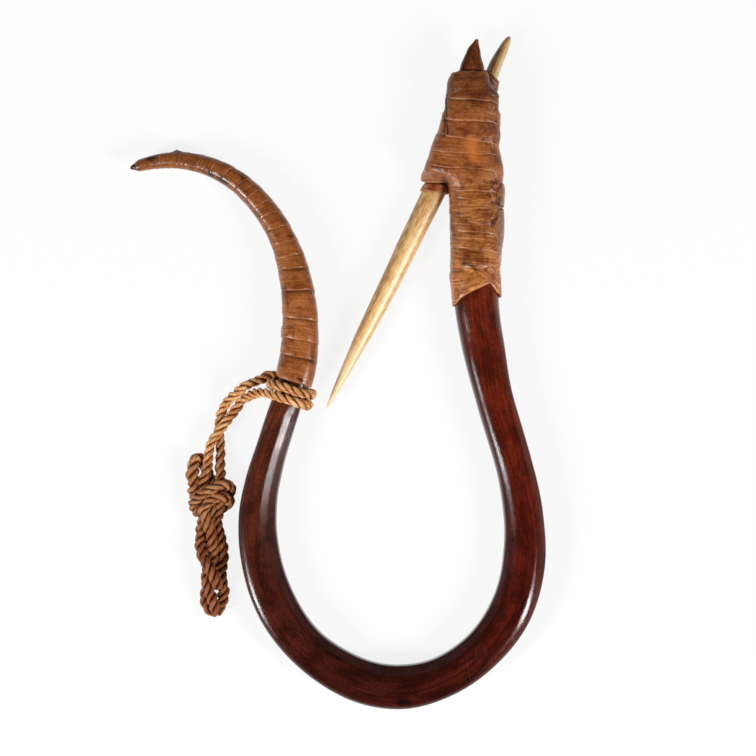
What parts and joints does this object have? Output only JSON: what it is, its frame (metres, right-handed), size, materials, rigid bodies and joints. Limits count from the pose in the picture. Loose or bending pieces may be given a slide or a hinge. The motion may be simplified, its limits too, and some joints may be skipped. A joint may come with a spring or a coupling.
{
  "type": "halibut hook",
  "caption": "U-shaped bentwood halibut hook lying on its back, with a slanting bone barb lashed to one arm by bark strip, a curled bark-wrapped tip on the other and a knotted cord leader.",
  "frame": {"origin": "centre of the hook's bounding box in plan, without the leader cord, on the surface that the hook lies on", "axes": "+X towards the arm that carries the barb, +Y up the arms from the bend, +Z out of the face that shows, with the hook lying on its back"},
  "size_m": [0.1583, 0.2551, 0.0193],
  "materials": {
    "wood": "steam-bent close-grained wood, dark red-brown, oiled and rubbed to a gloss",
    "bark": "split bark strip, warm brown, satin, with fine lines along the strip",
    "bone": "scraped bone, pale yellow-brown with darker pores and streaks, satin",
    "fibre": "three-strand twisted plant fibre cord, golden brown, matt"
  },
  "bodies": {
    "root": {"shank": "wood", "barb": "bone", "tip_whipping": "bark", "left_lashing_upper": "bark", "left_lashing_lower": "bark", "foot_band": "bark", "right_lashing_lower": "bark", "right_lashing_middle": "bark", "right_lashing_upper": "bark", "point_lashing": "bark", "barb_root_band": "bark", "barb_stub_band": "bark", "strip_end_tab": "bark", "folded_strip_end": "bark", "upper_strip_end": "bark", "leader_knot": "fibre", "leader_tail": "fibre", "leader_leg_inner": "fibre", "leader_neck_turns": "fibre", "leader_leg_outer": "fibre", "leader_ear_loop": "fibre"}
  },
  "joints": []
}
